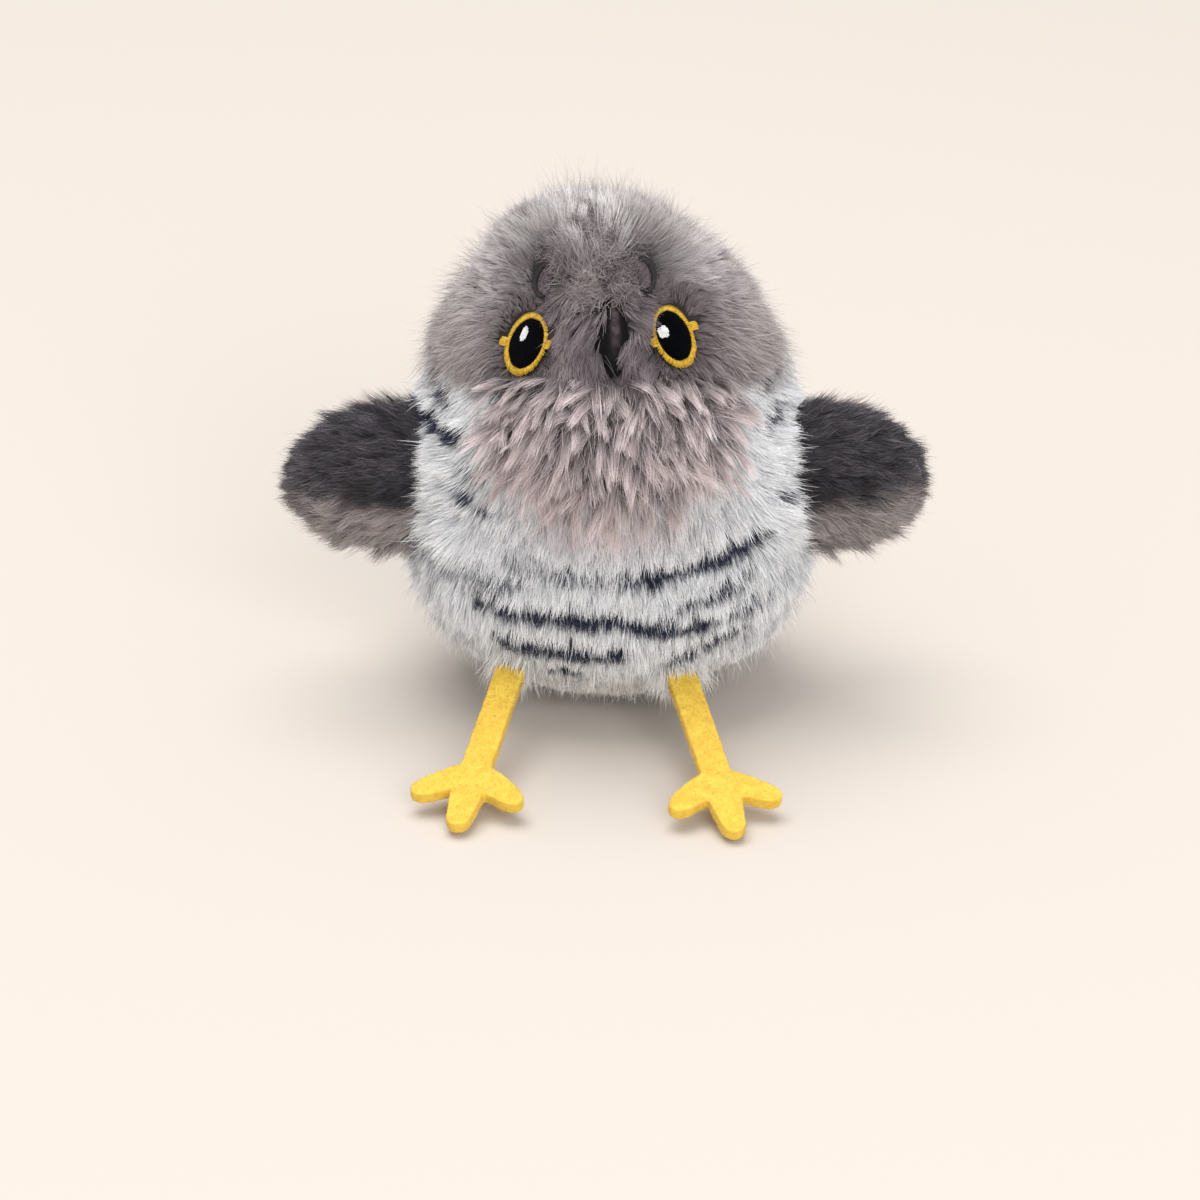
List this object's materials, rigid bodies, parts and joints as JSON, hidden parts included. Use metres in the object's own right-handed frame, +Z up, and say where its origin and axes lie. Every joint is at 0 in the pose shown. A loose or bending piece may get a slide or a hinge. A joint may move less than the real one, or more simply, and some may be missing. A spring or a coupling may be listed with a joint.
{
  "type": "flapping bird cat toy",
  "caption": "Round plush bird that flaps two mitten wings by an inner motor, gear train, crank and yoke, with felt legs in front.",
  "frame": {"origin": "on the floor, at the middle of the flat face under the round belly", "axes": "+Z up; the bird faces -Y; +X is the bird's own left, along its wings"},
  "size_m": [0.157, 0.1333, 0.126],
  "materials": {
    "grey_plush": "matte",
    "white_plush": "matte",
    "bib_plush": "matte",
    "charcoal_plush": "matte",
    "taupe_plush": "matte",
    "fibre_filling": "matte",
    "velvet": "matte",
    "yellow_felt": "matte",
    "gold_thread": "satin",
    "black_thread": "satin",
    "white_thread": "satin",
    "dark_thread": "satin",
    "hook_and_loop": "matte",
    "shell_plastic": "matte",
    "gear_plastic": "satin",
    "lever_plastic": "satin",
    "steel": "satin",
    "board_laminate": "satin",
    "black_plastic": "satin",
    "battery_wrap": "satin",
    "red_plastic": "satin",
    "clear_plastic": "gloss",
    "lead_sleeve": "satin"
  },
  "bodies": {
    "toy_body": {"hood_skin": "grey_plush", "belly_skin": "white_plush", "chest_bib": "bib_plush", "body_stuffing": "fibre_filling", "hook_strip": "hook_and_loop", "left_eye_ring": "gold_thread", "left_pupil": "black_thread", "left_eye_glint": "white_thread", "left_brow": "dark_thread", "right_eye_ring": "gold_thread", "right_pupil": "black_thread", "right_eye_glint": "white_thread", "right_brow": "dark_thread", "beak": "velvet", "housing_front": "shell_plastic", "housing_rear": "shell_plastic", "housing_screw_1": "steel", "housing_screw_2": "steel", "housing_screw_3": "steel", "housing_screw_4": "steel", "gearbox_plate": "shell_plastic", "left_pivot_pin": "steel", "right_pivot_pin": "steel", "crank_axle": "steel", "reduction_axle": "steel", "motor": "steel", "battery": "battery_wrap", "circuit_board": "board_laminate", "speaker": "black_plastic", "touch_sensor": "steel", "tact_switch": "black_plastic", "usb_socket": "steel", "charge_light": "clear_plastic", "battery_lead": "lead_sleeve", "motor_lead": "lead_sleeve", "speaker_lead": "lead_sleeve"},
    "closure": {"closure_flap": "grey_plush", "loop_strip": "hook_and_loop"},
    "left_leg": {"left_leg": "yellow_felt"},
    "right_leg": {"right_leg": "yellow_felt"},
    "left_wing": {"left_wing_front": "charcoal_plush", "left_wing_back": "taupe_plush", "left_wing_padding": "fibre_filling", "left_wing_lever": "lever_plastic"},
    "right_wing": {"right_wing_front": "charcoal_plush", "right_wing_back": "taupe_plush", "right_wing_padding": "fibre_filling", "right_wing_lever": "lever_plastic"},
    "yoke": {"yoke": "lever_plastic"},
    "crank": {"crank_gear": "gear_plastic"},
    "reduction": {"reduction_gear": "gear_plastic"},
    "motor_drive": {"motor_pinion": "gear_plastic", "motor_shaft": "steel"},
    "button": {"power_button": "red_plastic"}
  },
  "joints": [
    {"name": "left_wing_flap", "type": "hinge", "parent": "toy_body", "child": "left_wing", "pos_m": [0.0285, -0.008, 0.056], "axis": [0, -1, 0], "range_deg": [-18, 18]},
    {"name": "right_wing_flap", "type": "hinge", "parent": "toy_body", "child": "right_wing", "pos_m": [-0.0285, -0.008, 0.056], "axis": [0, 1, 0], "range_deg": [-18, 18]},
    {"name": "yoke_travel", "type": "slide", "parent": "toy_body", "child": "yoke", "axis": [0, 0, 1], "range_m": [-0.00403, 0.00403]},
    {"name": "crank_turn", "type": "hinge", "parent": "toy_body", "child": "crank", "pos_m": [0, 0.0005, 0.056], "axis": [0, -1, 0], "range_deg": [-90, 90]},
    {"name": "reduction_turn", "type": "hinge", "parent": "toy_body", "child": "reduction", "pos_m": [0.01245, 0.001, 0.04728], "axis": [0, -1, 0], "range_deg": [-252.5, 252.5]},
    {"name": "motor_turn", "type": "hinge", "parent": "toy_body", "child": "motor_drive", "pos_m": [-0.00281, 0.001, 0.04404], "axis": [0, -1, 0], "range_deg": [-841, 841]},
    {"name": "left_leg_swing", "type": "hinge", "parent": "toy_body", "child": "left_leg", "pos_m": [0.01689, -0.03488, 0.01761], "axis": [0.9759, 0.2182, 0], "range_deg": [-45, 50]},
    {"name": "right_leg_swing", "type": "hinge", "parent": "toy_body", "child": "right_leg", "pos_m": [-0.02382, -0.03179, 0.01759], "axis": [0.9759, -0.2182, 0], "range_deg": [-45, 50]},
    {"name": "closure_open", "type": "hinge", "parent": "toy_body", "child": "closure", "pos_m": [0, 0.04068, 0.0595], "axis": [1, 0, 0], "range_deg": [0, 75]},
    {"name": "button_press", "type": "slide", "parent": "toy_body", "child": "button", "axis": [0, -1, 0], "range_m": [0, 0.0008], "stiffness_N_per_m": 400, "springref_m": -0.0002}
  ],
  "couplings": [
    {"joint": "right_wing_flap", "follows": "left_wing_flap", "ratio": 1},
    {"joint": "yoke_travel", "follows": "left_wing_flap", "m_per_rad": -0.012787},
    {"joint": "crank_turn", "follows": "left_wing_flap", "ratio": -5},
    {"joint": "reduction_turn", "follows": "left_wing_flap", "ratio": 14},
    {"joint": "motor_turn", "follows": "left_wing_flap", "ratio": -46.667}
  ]
}
